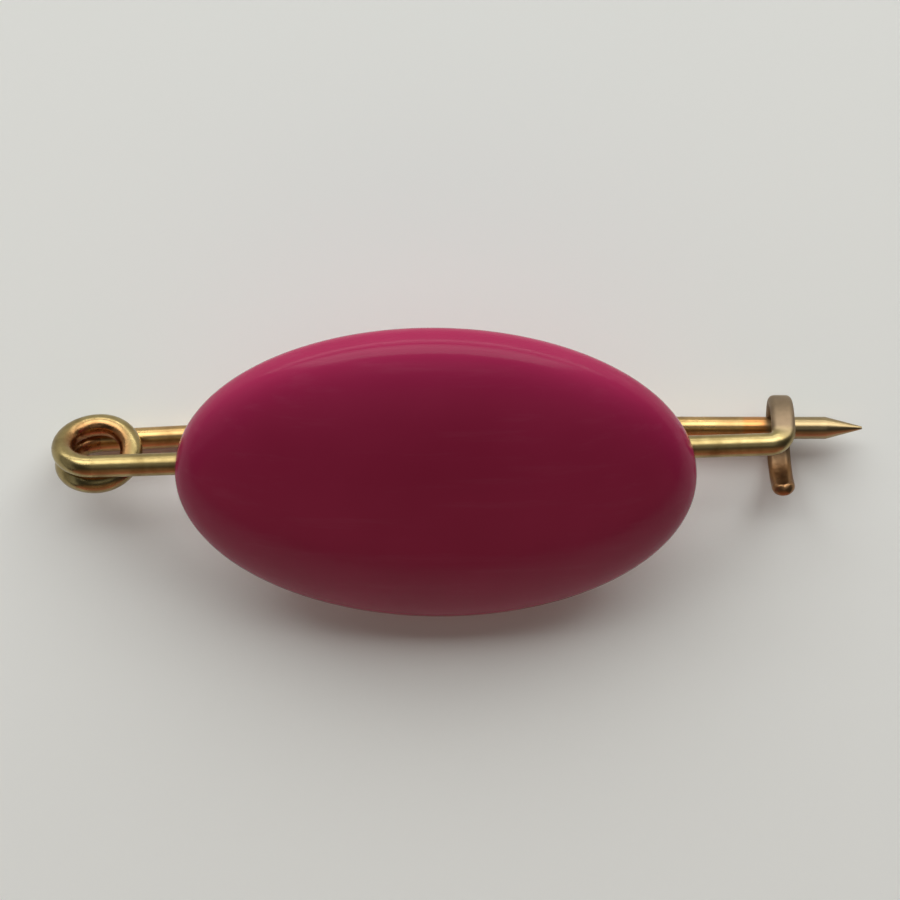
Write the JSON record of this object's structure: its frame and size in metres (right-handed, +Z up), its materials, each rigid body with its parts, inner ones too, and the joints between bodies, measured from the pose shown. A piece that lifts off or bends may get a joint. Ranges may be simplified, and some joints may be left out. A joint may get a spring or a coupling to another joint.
{
  "type": "oval brooch",
  "caption": "Oval brooch: a glossy domed oval stone on a straight brass wire bar with a coiled spring pin and a curled hook catch.",
  "frame": {"origin": "middle of the bounding box at its lowest level, on the table that the brooch lies on", "axes": "+X along the bar from the spring toward the hook, +Z up from the table; the front of the stone faces up and toward -Y"},
  "size_m": [0.04, 0.0152, 0.0114],
  "materials": {
    "raspberry_plastic": "moulded plastic, polished to a soft gloss, faintly scuffed",
    "aged_brass": "drawn brass wire, hammered flat at the hook, dulled by age",
    "bright_brass": "drawn brass wire, worn brighter by use"
  },
  "bodies": {
    "frame": {"oval_stone": "raspberry_plastic", "bar_wire": "aged_brass", "spring_coil": "aged_brass"},
    "pin": {"pin_stem": "bright_brass"}
  },
  "joints": [
    {"name": "pin_spring", "type": "hinge", "parent": "frame", "child": "pin", "pos_m": [-0.01775, 0.00066, 0.00235], "axis": [0.0401, -0.7699, -0.6369], "range_deg": [0, 5.5], "stiffness_Nm_per_rad": 0.02, "springref_deg": -1.72}
  ]
}
